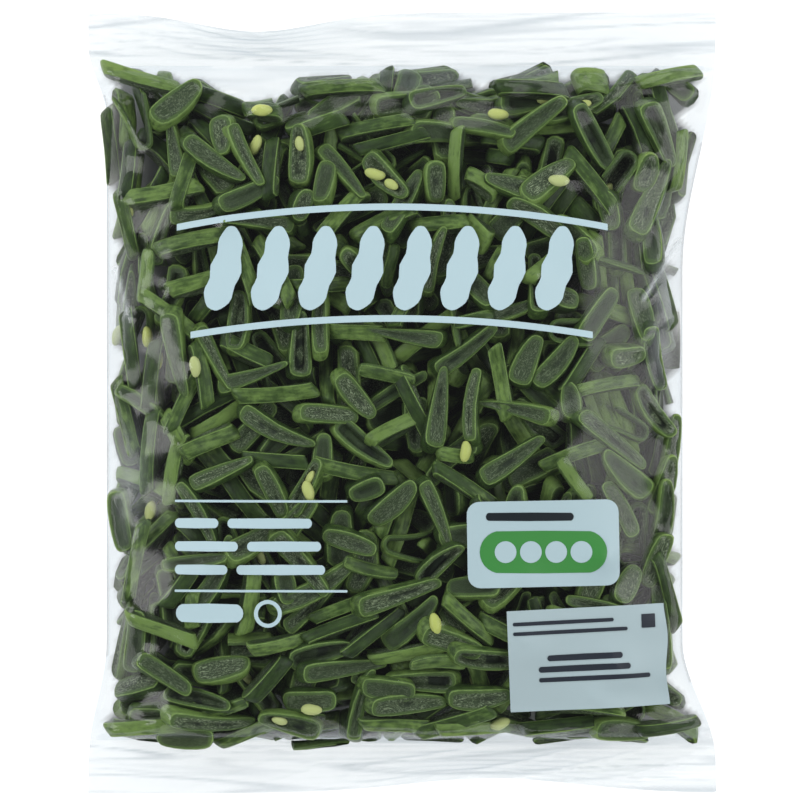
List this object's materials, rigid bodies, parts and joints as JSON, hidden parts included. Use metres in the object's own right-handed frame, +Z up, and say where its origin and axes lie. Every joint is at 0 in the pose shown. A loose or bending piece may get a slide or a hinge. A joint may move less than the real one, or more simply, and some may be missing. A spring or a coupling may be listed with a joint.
{
  "type": "bag of sliced green beans",
  "caption": "Clear film pillow bag, crimped at both ends and filled with slantwise-cut slices of flat green bean pod, with a pale label on its front.",
  "frame": {"origin": "on the surface that the bag lies on, under the middle of its outline", "axes": "+Z up, out of the front of the bag; +Y towards the top seal; +X to the right as the front is read"},
  "size_m": [0.21, 0.2613, 0.0406],
  "materials": {
    "film": "clear, glossy film",
    "label": "satin",
    "bean": "moist, slightly waxy skin and cut flesh",
    "seed": "satin"
  },
  "bodies": {
    "root": {"film_bag": "film", "date_label": "label", "bean_slices": "bean", "loose_seed_1": "seed", "loose_seed_2": "seed", "loose_seed_3": "seed", "loose_seed_4": "seed", "loose_seed_5": "seed", "loose_seed_6": "seed", "loose_seed_7": "seed", "loose_seed_8": "seed", "loose_seed_9": "seed", "loose_seed_10": "seed"}
  },
  "joints": []
}
